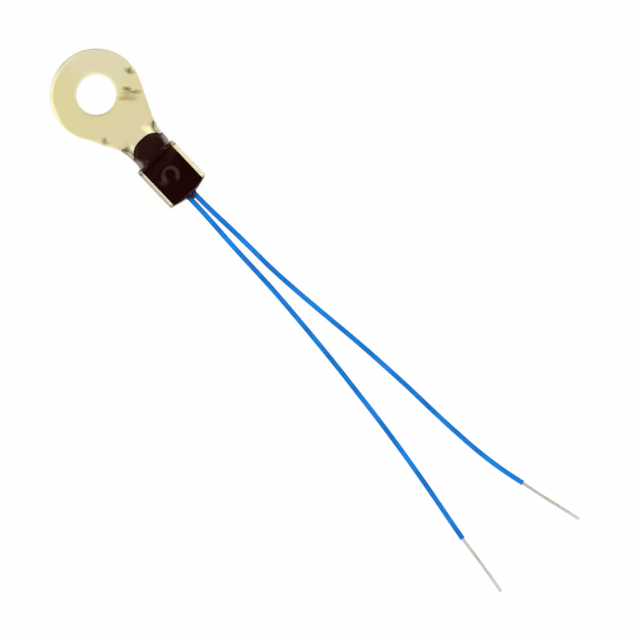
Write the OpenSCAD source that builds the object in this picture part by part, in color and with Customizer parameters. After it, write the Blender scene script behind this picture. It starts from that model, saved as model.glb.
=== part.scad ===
// Thermistor probe in a ring lug: a stamped, folded lug, a potted element and two fine leads.
// The origin is the centre of the screw hole on the lug's underside.
// X runs along the lug towards the leads, Z runs up through the hole.

/* [Ring] */
// Outer diameter of the ring
ring_d = 8.4; // [7.6:0.1:9]
// Diameter of the screw hole
hole_d = 3.7; // [3.2:0.1:4.3]
// Thickness of the plated sheet
sheet_t = 0.4; // [0.3:0.05:0.5]

/* [Tongue and neck] */
// Angle between the lug's axis and each side of the tongue, in degrees
tongue_angle = 26.5; // [24:0.5:29]
// Distance from the hole to the end of the flat tongue
tongue_end = 4.9; // [4.7:0.1:5.1]
// Distance from the end of the tongue to where the neck is fully curled
curl_run = 0.9; // [0.8:0.1:2]
// Angle that the neck's edges are turned up, in degrees
neck_curl = 46; // [36:1:50]

/* [Barrel] */
// Distance from the hole to the front of the barrel
barrel_front = 7.7; // [7.4:0.1:8]
// Length of the barrel
barrel_l = 4.6; // [4.3:0.1:5.5]
// Outer width across the wings
barrel_w = 4.4; // [4.2:0.1:4.8]
// Height of the wings above the underside
wing_h = 2.8; // [2.7:0.1:3.4]
// Inner radius of the two long bends
bend_r = 0.8; // [0.6:0.1:0.9]
// How far the front edge of a wing leans back from foot to top
wing_lean = 0.45; // [0.2:0.05:0.7]
// Radius of the upper corners of the wings
wing_corner_r = 0.4; // [0.2:0.05:0.6]

/* [Potting] */
// Depth of the potting's crown below the top of the wings
fill_gap = 0.2; // [0.1:0.05:0.25]
// How much the crown stands above the potting's edge at the wings
crown = 0.07; // [0.04:0.01:0.2]
// How far the nose runs out in front of the barrel
nose_l = 2; // [1.6:0.05:2.2]
// Radius of the nose's front edge, seen from above
nose_r = 2.3; // [2.2:0.1:2.8]
// How far the potting bulges out behind the barrel
bulge_l = 0.3; // [0.2:0.02:0.6]
// How far the potting creeps on along the leads behind its bulge
creep_l = 0.46; // [0.2:0.02:0.6]
// Thickness of the potting round the leads where it starts to creep
creep_skin = 0.07; // [0.04:0.01:0.12]
// How far the potting laps over the neck's edges
lap = 0.07; // [0.04:0.01:0.12]
// Diameter of the shallow dimple in the crown
dimple_d = 1.8; // [1.2:0.1:2.2]
// Depth of the dimple
dimple_depth = 0.1; // [0.06:0.01:0.2]
// Distance from the front of the barrel to the middle of the dimple
dimple_at = 2.3; // [2:0.1:2.6]

/* [Element] */
// Length and height of the square chip
chip_l = 1; // [0.7:0.05:1.05]
// Thickness of the chip
chip_t = 0.33; // [0.3:0.01:0.4]
// Thickness of each silver electrode
electrode_t = 0.02; // [0.01:0.005:0.03]
// Width of the rim that each electrode leaves bare
electrode_rim = 0.05; // [0.02:0.01:0.1]
// Distance from the front of the barrel to the middle of the chip
chip_at = 1.5; // [1.3:0.05:1.8]
// Height of the chip's middle and of both leads above the inner floor
axis_h = 1.05; // [0.95:0.05:1.15]
// How far each conductor reaches past the chip's middle
wire_reach = 0.35; // [0.25:0.01:0.4]
// Radius of each solder cap
solder_r = 0.33; // [0.3:0.01:0.36]
// Diameter of the bead coating
bead_d = 1.6; // [1.5:0.05:1.65]
// Length of the bead coating behind the middle of the chip
bead_tail = 2; // [1.8:0.1:2.2]
// Thickness of the bead coating round the insulation at its rear end
bead_cover = 0.06; // [0.04:0.01:0.1]
// Width of the bevel round the bead coating's rear end
bead_bevel = 0.2; // [0.1:0.02:0.3]

/* [Leads] */
// Diameter of a conductor
wire_d = 0.25; // [0.2:0.01:0.28]
// Diameter of a lead over its insulation
jacket_d = 0.46; // [0.4:0.02:0.56]
// How deep the insulation goes into the bead coating
jacket_grip = 0.8; // [0.5:0.1:0.9]
// How far each lead runs straight on behind the potting
exit_run = 0.24; // [0.1:0.02:0.5]

/* [Hidden] */

// How far a cutting shape passes the piece that it cuts
over = 0.5;
// How far two stretches of the folded sheet run into each other where they are joined
joint_run = 0.2;

// Sheet: half-width of the flat floor, and radius of the bends at mid thickness
flat_half = barrel_w / 2 - sheet_t - bend_r;
mid_r = bend_r + sheet_t / 2;
barrel_rear = barrel_front + barrel_l;

// Steps along a bend: the first share is also the curled neck's section
neck_steps = 4;
wing_steps = 5;
bend_angles = concat([for (i = [0 : neck_steps]) neck_curl * i / neck_steps],
    [for (i = [1 : wing_steps]) neck_curl + (90 - neck_curl) * i / wing_steps]);

// Half-widths of the unfolded sheet: where the tongue meets the ring, at its end, and at the barrel
tangent = ring_d / 2 * [sin(tongue_angle), cos(tongue_angle)];
tongue_half = tangent.y - tan(tongue_angle) * (tongue_end - tangent.x);
neck_half = flat_half + mid_r * neck_curl * PI / 180;

// Unfolded half-width of the neck, a smooth curve from the tongue's side to the barrel
function neck_width(x) = let (
    run = barrel_front - tongue_end,
    u = min(1, max(0, (x - tongue_end) / run)))
    tongue_half * (1 + 2 * u) * (1 - u) ^ 2 - tan(tongue_angle) * run * u * (1 - u) ^ 2
    + neck_half * u ^ 2 * (3 - 2 * u);

// Curvature of the sheet outside its flat floor: none on the tongue, full in the barrel
function curvature(x) = let (u = min(1, max(0, (x - tongue_end) / curl_run)))
    u ^ 2 * (3 - 2 * u) / mid_r;

// Point of the folded sheet: bend is the distance along the sheet from the flat floor's edge,
// level goes from -0.5 at the outer face to 0.5 at the inner face
function sheet_point(x, bend, level) = let (
    k = curvature(x),
    turned = min(90, bend * k * 180 / PI),
    wall = turned < 90 ? 0 : bend - mid_r * PI / 2,
    across = k == 0 ? bend : sin(turned) / k,
    up = k == 0 ? 0 : (1 - cos(turned)) / k + wall)
    [x, flat_half + across - level * sheet_t * sin(turned),
        sheet_t / 2 + up + level * sheet_t * cos(turned)];

function mirrored(p) = [p.x, -p.y, p.z];
function reversed(v) = [for (i = [len(v) - 1 : -1 : 0]) v[i]];

// A closed section, from the left edge to the right one below and back above
function both_sides(below, above) = concat(
    [for (p = reversed(below)) mirrored(p)], below, reversed(above), [for (p = above) mirrored(p)]);

// Skin over a row of sections with as many points each, and two ends closed strip by strip
module skin(sections) {
    n = len(sections[0]);
    last = (len(sections) - 1) * n;
    sides = [for (i = [0 : len(sections) - 2], j = [0 : n - 1], half = [0, 1]) let (
        a = i * n + j,
        b = i * n + (j + 1) % n)
        half == 0 ? [a, b + n, b] : [a, a + n, b + n]];
    strips = [for (j = [0 : n / 2 - 2], half = [0, 1])
        half == 0 ? [j, n - 2 - j, n - 1 - j] : [j, j + 1, n - 2 - j]];
    far_strips = [for (f = strips) [last + f.x, last + f.z, last + f.y]];
    polyhedron(points = [for (s = sections, p = s) p], faces = concat(sides, strips, far_strips));
}

// Ring and tongue, flat, with a true hole
module ring_plate() {
    linear_extrude(sheet_t) difference() {
        union() {
            circle(d = ring_d, $fn = 128);
            polygon([tangent, [tongue_end, tongue_half], [tongue_end, -tongue_half],
                [tangent.x, -tangent.y]]);
        }
        circle(d = hole_d, $fn = 96);
    }
}

// Neck that narrows and curls up from the flat tongue to the barrel's section
module neck() {
    stations = 14;
    places = concat([tongue_end - joint_run],
        [for (i = [0 : stations]) tongue_end + (barrel_front - tongue_end) * i / stations],
        [barrel_front + joint_run]);
    skin([for (x = places) let (
        turned_width = neck_width(x) - flat_half,
        bends = [for (j = [0 : neck_steps]) turned_width * j / neck_steps])
        both_sides([for (s = bends) sheet_point(x, s, -0.5)], [for (s = bends) sheet_point(x, s, 0.5)])]);
}

// Side view of the barrel: leaning front edge and round upper corners
module wing_outline() {
    foot = sheet_point(barrel_front, neck_half - flat_half, 0.5).z;
    lean = atan(wing_lean / (wing_h - foot));
    front_x = barrel_front + wing_lean + wing_corner_r * (1 / cos(lean) - tan(lean));
    polygon(concat(
        [[barrel_front, 0], [barrel_front, foot]],
        [for (a = [180 - lean : -(90 - lean) / 6 : 89.9])
            [front_x, wing_h - wing_corner_r] + wing_corner_r * [cos(a), sin(a)]],
        [for (a = [90 : -15 : 0])
            [barrel_rear - wing_corner_r, wing_h - wing_corner_r] + wing_corner_r * [cos(a), sin(a)]],
        [[barrel_rear, 0]]));
}

// U-shaped barrel with its two upright wings
module barrel() {
    r_out = bend_r + sheet_t;
    half = concat(
        [for (a = bend_angles) [flat_half + r_out * sin(a), r_out * (1 - cos(a))]],
        [[barrel_w / 2, wing_h], [barrel_w / 2 - sheet_t, wing_h]],
        [for (a = reversed(bend_angles)) [flat_half + bend_r * sin(a), r_out - bend_r * cos(a)]]);
    intersection() {
        translate([barrel_front, 0, 0]) rotate([90, 0, 90]) linear_extrude(barrel_l)
            polygon(concat(half, [for (p = reversed(half)) [-p.x, p.y]]));
        translate([0, barrel_w / 2 + over, 0]) rotate([90, 0, 0]) linear_extrude(barrel_w + 2 * over)
            wing_outline();
    }
}

module ring_lug_form() {
    ring_plate();
    neck();
    barrel();
}

// Heights and places inside the barrel
axis_z = sheet_t + axis_h;
crown_z = wing_h - fill_gap;
chip_x = barrel_front + chip_at;
bead_rear = chip_x + bead_tail;
electrode_face = chip_t / 2 + electrode_t;
wire_r = wire_d / 2;
jacket_r = jacket_d / 2;

// Both leads lie with a flat of their eight sides on an electrode
lead_sides = 8;
lead_y = electrode_face + wire_r * cos(180 / lead_sides);
wire_front = chip_x - wire_reach;
exit_x = barrel_rear + bulge_l + creep_l + exit_run;

// Routes of the leads: from the element straight out, then down and along the surface below.
// The first three points follow the head, the others are where the lead lies.
function head_route(side) = [[wire_front, side * lead_y, axis_z],
    [bead_rear - jacket_grip, side * lead_y, axis_z], [exit_x, side * lead_y, axis_z]];
lie_left = [[15.5, 0.38, 1.32], [17.5, 0.5, 1.02], [20, 0.6, 0.62], [22.5, 0.69, 0.35],
    [25, 0.89, 0.24], [27.5, 1.15, 0.23], [30, 1.44, 0.23], [33, 1.78, 0.23], [36, 2.05, 0.23],
    [39, 2.27, 0.23], [42, 2.43, 0.23], [45, 2.63, 0.23], [48, 2.94, 0.23], [50.5, 3.37, 0.23],
    [52.5, 3.84, 0.23], [54.5, 4.3, 0.19], [56.4, 4.79, 0.15], [58.4, 5.3, 0.13]];
lie_right = [[15.5, -0.34, 1.32], [17.5, -0.42, 1.02], [20, -0.49, 0.62], [22.5, -0.52, 0.35],
    [25, -0.6, 0.24], [27.5, -0.74, 0.23], [30, -0.9, 0.23], [33, -1.13, 0.23], [36, -1.41, 0.23],
    [39, -1.71, 0.23], [42, -2.06, 0.23], [45, -2.47, 0.23], [48, -2.93, 0.23], [50.5, -3.34, 0.23],
    [52.4, -3.64, 0.23], [54.4, -3.87, 0.19], [56.4, -4.13, 0.15], [58.3, -4.41, 0.13]];
route_left = concat(head_route(1), lie_left);
route_right = concat(head_route(-1), lie_right);
// Route points where the insulation starts and ends, where the lead bends, and the tip
jacket_start = 1;
jacket_exit = 2;
jacket_end = 17;
tip = 20;

// Ring of points round one point of a route, square to the route there
function tube_ring(route, i, r) = let (
    ahead = route[min(i + 1, len(route) - 1)] - route[max(i - 1, 0)],
    forward = ahead / norm(ahead),
    aside = cross([0, 0, 1], forward) / norm(cross([0, 0, 1], forward)),
    upward = cross(forward, aside))
    [for (k = [0 : lead_sides - 1]) let (a = (k + 0.5) * 360 / lead_sides)
        route[i] + r * (cos(a) * aside + sin(a) * upward)];

// Solid tube along part of a route
module tube(route, r, from, to) {
    n = lead_sides;
    last = (to - from) * n;
    sides = [for (i = [0 : to - from - 1], j = [0 : n - 1], half = [0, 1]) let (
        a = i * n + j,
        b = i * n + (j + 1) % n)
        half == 0 ? [a, b + n, b] : [a, a + n, b + n]];
    polyhedron(points = [for (i = [from : to], p = tube_ring(route, i, r)) p],
        faces = concat(sides, [[for (j = [0 : n - 1]) j]],
            [[for (j = [n - 1 : -1 : 0]) last + j]]));
}

// Hollow tube along part of a route
module pipe(route, r, bore_r, from, to) {
    n = lead_sides;
    count = to - from + 1;
    outside = [for (i = [0 : count - 2], j = [0 : n - 1], half = [0, 1]) let (
        a = i * n + j,
        b = i * n + (j + 1) % n)
        half == 0 ? [a, b + n, b] : [a, a + n, b + n]];
    inside = [for (f = outside) [count * n + f.x, count * n + f.z, count * n + f.y]];
    rims = [for (j = [0 : n - 1], half = [0, 1], end = [0, 1]) let (
        o = end * (count - 1) * n,
        a = o + j,
        b = o + (j + 1) % n,
        f = half == 0 ? [a, b, b + count * n] : [a, b + count * n, a + count * n])
        end == 0 ? f : [f.x, f.z, f.y]];
    polyhedron(points = concat(
        [for (i = [from : to], p = tube_ring(route, i, r)) p],
        [for (i = [from : to], p = tube_ring(route, i, bore_r)) p]),
        faces = concat(outside, inside, rims));
}

// Potting: height of its ridge, and how far out along the sheet it wets, at each place
nose_x = barrel_front - nose_l;
shoulder_x = barrel_front + wing_lean + wing_corner_r;
fill_bend = mid_r * PI / 2 + (crown_z - crown - sheet_t / 2 - mid_r);
inner_half = barrel_w / 2 - sheet_t;
// How far under the sheet's inner face the nose's skin starts, before the sheet is cut from it
seat_depth = 0.05;
// How soon the nose's ramp levels out: 1 is a straight ramp
ridge_power = 1.25;
// How far the rear bulge starts inside the barrel's inner face
mouth_inset = 0.04;

function share(value) = min(1, max(0, value));
function in_barrel(x) = share((x - barrel_front) / (shoulder_x - barrel_front));
function ridge(x) = let (
    foot = sheet_t - seat_depth,
    u = share((x - nose_x) / (shoulder_x - nose_x)))
    crown_z - (crown_z - foot) * (1 - u) ^ ridge_power;
function wetted(x) = let (
    arc = sqrt(max(0.0001, nose_r ^ 2 - max(0, nose_x + nose_r - x) ^ 2)) - flat_half,
    rim = neck_width(x) + lap - flat_half)
    x <= barrel_front ? min(arc, rim) : rim + (fill_bend - rim) * in_barrel(x);

// The level in the sheet that the potting's skin starts from: just under the inner face, low on the
// neck's cut edge where the potting laps over it, and in the middle of the wings
edge_level = -0.3;
function seat_level(x) = let (
    inner = 0.5 - seat_depth / sheet_t,
    past_edge = share((flat_half + wetted(x) - neck_width(x) + lap) / (2 * lap)))
    x <= barrel_front ? inner + (edge_level - inner) * past_edge : edge_level * (1 - in_barrel(x));

// One section of the potting: along the sheet at the given level, and back over the ridge
pot_steps = 9;
function pot_section(x, level) = let (
    reach = wetted(x),
    below = reach < 0
        ? [for (j = [0 : pot_steps]) [x, (flat_half + reach) * (j + 1) / (pot_steps + 1),
            sheet_t / 2 + level * sheet_t]]
        : [for (j = [0 : pot_steps]) sheet_point(x, reach * j / pot_steps, level)],
    rim = below[pot_steps],
    above = [for (j = [0 : pot_steps]) let (a = 90 * (j + 0.5) / (pot_steps + 1))
        [x, rim.y * sin(a), rim.z + (ridge(x) - rim.z) * cos(a)]])
    both_sides(below, above);

// The barrel's mouth section moved back and shrunk towards the leads
function shrunk(section, x, half_w, half_h) = [for (p = section)
    [x, p.y * half_w / inner_half, axis_z + (p.z - axis_z) * half_h / axis_h]];

module potting_form() {
    nose_steps = 10;
    shoulder_steps = 4;
    nose = [for (i = [1 : nose_steps]) nose_x + nose_l * (i / nose_steps) ^ 2];
    shoulder = [for (i = [1 : shoulder_steps])
        barrel_front + (shoulder_x - barrel_front) * i / shoulder_steps];
    mouth = pot_section(barrel_rear, 0.5 + mouth_inset / sheet_t);
    bulge = [for (a = [20 : 15 : 65])
        shrunk(mouth, barrel_rear + bulge_l * sin(a) ^ 2, inner_half * cos(a), axis_h * cos(a))];
    creep = [
        shrunk(mouth, barrel_rear + bulge_l, lead_y + jacket_r + creep_skin, jacket_r + creep_skin),
        shrunk(mouth, barrel_rear + bulge_l + creep_l, lead_y, jacket_r / 4)];
    skin(concat(
        [for (x = concat(nose, shoulder, [barrel_rear - sheet_t])) pot_section(x, seat_level(x))],
        [mouth], bulge, creep));
}

module dimple() {
    ball_r = (dimple_d ^ 2 / 4 + dimple_depth ^ 2) / (2 * dimple_depth);
    translate([barrel_front + dimple_at, 0, crown_z - dimple_depth + ball_r]) sphere(r = ball_r, $fn = 96);
}

// Drop of coating round the element, revolved about the axis between the leads
module bead_form() {
    r = bead_d / 2;
    tail_r = lead_y + jacket_r + bead_cover;
    translate([0, 0, axis_z]) rotate([0, 90, 0]) rotate_extrude($fn = 64)
        polygon(concat(
            [for (a = [180 : -9 : 90]) [r * sin(a), chip_x + r * cos(a)]],
            [[r, chip_x + chip_l / 2], [tail_r, bead_rear - bead_bevel],
                [tail_r - bead_bevel, bead_rear], [0, bead_rear]]));
}

// Solder cap on one electrode, without the conductor that runs through it
module solder_form(side) {
    difference() {
        translate([chip_x, side * electrode_face, axis_z]) sphere(r = solder_r, $fn = 48);
        translate([chip_x - solder_r - over, side > 0 ? electrode_face - 2 * solder_r : -electrode_face,
            axis_z - solder_r - over])
            cube([2 * (solder_r + over), 2 * solder_r, 2 * (solder_r + over)]);
    }
}

module solder_joint(side, route) {
    color("lightgray") difference() {
        solder_form(side);
        tube(route, wire_r, 0, 1);
    }
}

module electrode(side) {
    face = chip_l - 2 * electrode_rim;
    color("gainsboro") translate([chip_x - face / 2, side > 0 ? chip_t / 2 : -electrode_face,
        axis_z - face / 2])
        cube([face, electrode_t, face]);
}

module ntc_chip() {
    color("dimgray") translate([chip_x - chip_l / 2, -chip_t / 2, axis_z - chip_l / 2])
        cube([chip_l, chip_t, chip_l]);
}

module bead_coating() {
    color([0.25, 0.1, 0.08]) difference() {
        bead_form();
        ntc_chip();
        for (side = [-1, 1]) {
            electrode(side);
            solder_form(side);
        }
        for (route = [route_left, route_right]) {
            tube(route, wire_r, 0, jacket_start);
            tube(route, jacket_r, jacket_start, jacket_exit);
        }
    }
}

module potting() {
    color([0.14, 0.06, 0.06]) difference() {
        potting_form();
        ring_lug_form();
        dimple();
        bead_form();
        for (route = [route_left, route_right]) tube(route, jacket_r, jacket_start, jacket_exit);
    }
}

module ring_lug() {
    color([0.84, 0.82, 0.66]) ring_lug_form();
}

module conductor(route) {
    color("silver") tube(route, wire_r, 0, tip);
}

module insulation(route) {
    color([0.02, 0.45, 0.9]) pipe(route, jacket_r, wire_r, jacket_start, jacket_end);
}

ring_lug();
potting();
bead_coating();
ntc_chip();
electrode(1);  // electrode_left
electrode(-1);  // electrode_right
solder_joint(1, route_left);  // solder_joint_left
solder_joint(-1, route_right);  // solder_joint_right
conductor(route_left);  // conductor_left
conductor(route_right);  // conductor_right
insulation(route_left);  // insulation_left
insulation(route_right);  // insulation_right
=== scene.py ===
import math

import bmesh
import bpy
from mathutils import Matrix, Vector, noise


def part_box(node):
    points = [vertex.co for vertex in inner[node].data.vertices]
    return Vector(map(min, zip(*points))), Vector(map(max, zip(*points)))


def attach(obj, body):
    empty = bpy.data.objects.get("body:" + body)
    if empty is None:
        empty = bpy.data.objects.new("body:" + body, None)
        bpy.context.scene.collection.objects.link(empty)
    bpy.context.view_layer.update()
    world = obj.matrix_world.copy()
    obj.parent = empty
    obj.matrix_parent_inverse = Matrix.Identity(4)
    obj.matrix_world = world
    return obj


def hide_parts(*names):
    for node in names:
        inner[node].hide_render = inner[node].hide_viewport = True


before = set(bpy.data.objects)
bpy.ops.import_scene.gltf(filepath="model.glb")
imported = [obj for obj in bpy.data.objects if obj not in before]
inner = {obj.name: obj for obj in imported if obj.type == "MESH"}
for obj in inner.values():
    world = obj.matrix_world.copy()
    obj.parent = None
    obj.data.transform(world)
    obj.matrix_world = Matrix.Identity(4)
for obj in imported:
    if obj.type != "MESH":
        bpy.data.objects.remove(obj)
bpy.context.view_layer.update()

# %% [markdown]
# This lesson dresses a small temperature probe: a ring lug stamped and folded from plated sheet, a drop of
# dark resin in its barrel with the sensing bead sealed inside, and two fine blue leads with bare ends.
# The frame already holds every piece at its real size. The lesson keeps their places and gives each piece
# the surface that the real one has.

mm = 0.001

# %% [markdown]
# The camera hangs straight above the probe, because the photograph looks straight down on it. The lug's
# axis runs to the lower right of the picture. The camera could be placed by eye. Here the place of the screw
# hole in the picture and the scale at the floor give the point that it stands over. A long lens keeps the
# perspective as flat as in the photograph.

# %% Camera above the probe
photo_side = 640
hole_at_pixel = (96.5, 94.9)
pixels_per_metre = 10950
picture_turn = math.radians(46.5)
lens_mm = 180
sensor_mm = 36

picture_right = Vector((math.cos(picture_turn), math.sin(picture_turn), 0))
picture_up = Vector((-math.sin(picture_turn), math.cos(picture_turn), 0))
hole_right = (hole_at_pixel[0] - photo_side / 2) / pixels_per_metre
hole_up = (photo_side / 2 - hole_at_pixel[1]) / pixels_per_metre
stand_over = -(picture_right * hole_right + picture_up * hole_up)
camera_height = photo_side / pixels_per_metre * lens_mm / sensor_mm

camera = bpy.data.objects.new("camera", bpy.data.cameras.new("camera"))
camera.data.lens = lens_mm
camera.data.sensor_width = sensor_mm
camera.location = (stand_over.x, stand_over.y, camera_height)
camera.rotation_euler = (0, 0, picture_turn)
bpy.context.collection.objects.link(camera)
bpy.context.scene.camera = camera
print("camera over, mm:", [round(v / mm, 2) for v in camera.location])

# %% [markdown]
# The two leads are fine solid wires with a tight plastic jacket. They leave the resin side by side, drop to
# the table and drift apart along it. A lead could be a swept mesh. A curve with a round bevel is chosen: the
# curve is its centreline, so its length can be measured, and a jacket and its wire share one route. The
# points, in millimetres, are the ones that the frame's leads follow.

# %% Routes of the leads
lead_y = 0.3005
axis_z = 1.45
wire_front_x = 8.85
jacket_front_x = 10.4
straight_end_x = 13.3
lie_left = [(15.5, 0.38, 1.32), (17.5, 0.5, 1.02), (20, 0.6, 0.62), (22.5, 0.69, 0.35),
    (25, 0.89, 0.24), (27.5, 1.15, 0.23), (30, 1.44, 0.23), (33, 1.78, 0.23), (36, 2.05, 0.23),
    (39, 2.27, 0.23), (42, 2.43, 0.23), (45, 2.63, 0.23), (48, 2.94, 0.23), (50.5, 3.37, 0.23),
    (52.5, 3.84, 0.23), (54.5, 4.3, 0.19), (56.4, 4.79, 0.15), (58.4, 5.3, 0.13)]
lie_right = [(15.5, -0.34, 1.32), (17.5, -0.42, 1.02), (20, -0.49, 0.62), (22.5, -0.52, 0.35),
    (25, -0.6, 0.24), (27.5, -0.74, 0.23), (30, -0.9, 0.23), (33, -1.13, 0.23), (36, -1.41, 0.23),
    (39, -1.71, 0.23), (42, -2.06, 0.23), (45, -2.47, 0.23), (48, -2.93, 0.23), (50.5, -3.34, 0.23),
    (52.4, -3.64, 0.23), (54.4, -3.87, 0.19), (56.4, -4.13, 0.15), (58.3, -4.41, 0.13)]


def lead_route(side, lie):
    """Points of one lead in metres, from the solder joint to the bare tip."""
    head = [(x, side * lead_y, axis_z) for x in (wire_front_x, jacket_front_x, straight_end_x)]
    return [Vector(p) * mm for p in head + lie]


routes = {"left": lead_route(1, lie_left), "right": lead_route(-1, lie_right)}
print("points on a lead:", len(routes["left"]))

# %% [markdown]
# Blender multiplies a curve's bevel depth by each point's radius, and it counts the plain radius in the
# curve's box. With a depth of 1 the radius is the real one in metres, so the box is the real one too. The
# handles are automatic, which keeps the lead smooth, except at its two ends, where they would bend it.

# %% A curve with a round section
section_detail = 6
steps_between_points = 12


def along_route(name, points, radius, tip_radius=None):
    """A smooth open curve through the points with a round section, and another radius at its tip if given."""
    curve = bpy.data.curves.new(name, "CURVE")
    curve.dimensions = "3D"
    curve.bevel_depth = 1.0
    curve.bevel_resolution = section_detail
    curve.resolution_u = steps_between_points
    curve.use_fill_caps = True
    spline = curve.splines.new("BEZIER")
    spline.bezier_points.add(len(points) - 1)
    for knot, point in zip(spline.bezier_points, points):
        knot.co = point
        knot.radius = radius
        knot.handle_left_type = "AUTO"
        knot.handle_right_type = "AUTO"
    first = spline.bezier_points[0]
    last = spline.bezier_points[-1]
    last.radius = tip_radius or radius
    first.handle_left_type = "FREE"
    first.handle_left = first.co
    last.handle_right_type = "FREE"
    last.handle_right = last.co
    piece = bpy.data.objects.new(name, curve)
    bpy.context.collection.objects.link(piece)
    return piece


print("steps between two points of a lead:", steps_between_points)

# %% [markdown]
# Each lead is two pieces, as on the bench: a bright conductor from the solder joint to the tip, and a jacket
# that starts inside the bead and is cut square 6 mm before the tip. The jacket takes its points from the same
# route, so that it always lies round its conductor.

# %% Conductors and jackets
wire_r = 0.125 * mm
tip_r = 0.13 * mm
jacket_r = 0.23 * mm
jacket_first = 1
jacket_last = 17


def curve_length(piece):
    """Length of a curve object's centreline in metres."""
    return piece.data.splines[0].calc_length()


conductors = {}
jackets = {}
for side, route in routes.items():
    conductors[side] = along_route(f"conductor_{side}_wire", route, wire_r, tip_r)
    jackets[side] = along_route(f"insulation_{side}_jacket", route[jacket_first:jacket_last + 1], jacket_r)
    print(side, "jacket, mm:", round(curve_length(jackets[side]) / mm, 2),
        "conductor, mm:", round(curve_length(conductors[side]) / mm, 2))

# %% [markdown]
# A jacket and the conductor inside it are attached to the probe's body. Both stand for the plain tubes of the
# frame, which are hidden.

# %% The leads in place of the frame's tubes
for side, route in routes.items():
    wire = conductors[side]
    jacket = jackets[side]
    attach(wire, "root")
    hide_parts(f"conductor_{side}")
    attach(jacket, "root")
    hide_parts(f"insulation_{side}")

# %% [markdown]
# The lug is stamped from sheet and then folded, and it is modelled in the same order: the flat blank comes
# first. A bent sheet keeps its length along the middle of its thickness, so the blank's width follows from
# the sizes of the folded lug. The ring, the barrel's rear and the wings' height are read from the frame.

# %% Sizes of the lug
lug_low, lug_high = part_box("ring_lug")
sheet_t = 0.4 * mm
hole_r = 1.85 * mm
ring_r = -lug_low.x
barrel_rear = lug_high.x
wing_h = lug_high.z
tongue_angle = math.radians(26.5)
tongue_end = 4.9 * mm
barrel_front = 7.7 * mm
barrel_half = 2.2 * mm
wing_lean = 0.45 * mm
wing_corner = 0.36 * mm
neck_curl = math.radians(46)
bend_r = 0.8 * mm

mid_r = bend_r + sheet_t / 2
flat_half = barrel_half - sheet_t - bend_r
neck_half = flat_half + mid_r * neck_curl
wing_half = flat_half + mid_r * math.pi / 2 + wing_h - sheet_t / 2 - mid_r
tangent = Vector((math.sin(tongue_angle), math.cos(tongue_angle), 0)) * ring_r
tongue_half = tangent.y - math.tan(tongue_angle) * (tongue_end - tangent.x)
print("ring radius, mm:", round(ring_r / mm, 3), "half blank at the wings, mm:", round(wing_half / mm, 3))

# %% [markdown]
# The neck draws in from the tongue's straight sides to the barrel. Its side could be a row of points set by
# hand. One smooth curve is chosen, which leaves the tongue in the tongue's own direction and meets the barrel
# in the barrel's, so that the outline has no corner.


# %% Side of the neck
def eased(value):
    """Keeps a value between 0 and 1 and lets it start and end softly."""
    share = min(1, max(0, value))
    return share * share * (3 - 2 * share)


def neck_width(x):
    """Half-width of the blank at the neck: a smooth curve from the tongue's side to the barrel."""
    run = barrel_front - tongue_end
    u = min(1, max(0, (x - tongue_end) / run))
    return (tongue_half * (1 + 2 * u) * (1 - u) ** 2 - math.tan(tongue_angle) * run * u * (1 - u) ** 2
        + neck_half * u ** 2 * (3 - 2 * u))


print("half blank, mm: tongue", round(neck_width(tongue_end) / mm, 2),
    "neck", round(neck_width(barrel_front) / mm, 2))

# %% [markdown]
# Only half of the outline is drawn, because the two halves are alike: the ring's arc, the straight side of
# the tongue, the neck, the wing that will stand up, and the arc of the hole. One vertex is spun for each arc,
# and single vertices are extruded along the rest. The wing's corners are rounded by a bevel of their points.

# %% Half of the flat blank
ring_steps = 72
hole_steps = 56
neck_steps = 14
corner_steps = 8
tiny = 0.001 * mm


def spin_point(bm, point, angle, steps):
    """Draws an arc round the hole's axis from one vertex and returns the vertex at its end."""
    made = bmesh.ops.spin(bm, geom=[point], cent=(0, 0, 0), axis=(0, 0, 1), angle=angle, steps=steps)
    return next(g for g in made["geom_last"] if isinstance(g, bmesh.types.BMVert))


def draw_on(bm, point, places):
    """Draws straight edges from one vertex through more places and returns the last vertex."""
    for x, y in places:
        point = bmesh.ops.extrude_vert_indiv(bm, verts=[point])["verts"][0]
        point.co = (x, y, 0)
    return point


blank = bmesh.new()
ring_far = blank.verts.new((-ring_r, 0, 0))
shoulder = spin_point(blank, ring_far, -(math.pi / 2 + tongue_angle), ring_steps)
neck_places = [tongue_end + (barrel_front - tongue_end) * i / neck_steps for i in range(neck_steps + 1)]
rear_axis = draw_on(blank, shoulder, [(x, neck_width(x)) for x in neck_places]
    + [(barrel_front + wing_lean, wing_half), (barrel_rear, wing_half), (barrel_rear, 0)])
hole_near = draw_on(blank, rear_axis, [(hole_r, 0)])
hole_far = spin_point(blank, hole_near, math.pi, hole_steps)
blank.edges.new((hole_far, ring_far))
bmesh.ops.contextual_create(blank, geom=blank.edges[:])
wing_corners = [v for v in blank.verts if abs(v.co.y - wing_half) < tiny]
bmesh.ops.bevel(blank, geom=wing_corners, offset=wing_corner, offset_type="OFFSET", segments=corner_steps,
    profile=0.5, affect="VERTICES", material=-1)
print("half blank:", len(blank.verts), "points")

# %% [markdown]
# Mirroring gives the whole blank, and pulling its face up gives the sheet its thickness. A Solidify modifier
# could do the second, but the next steps need the real faces of both sides.

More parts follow.
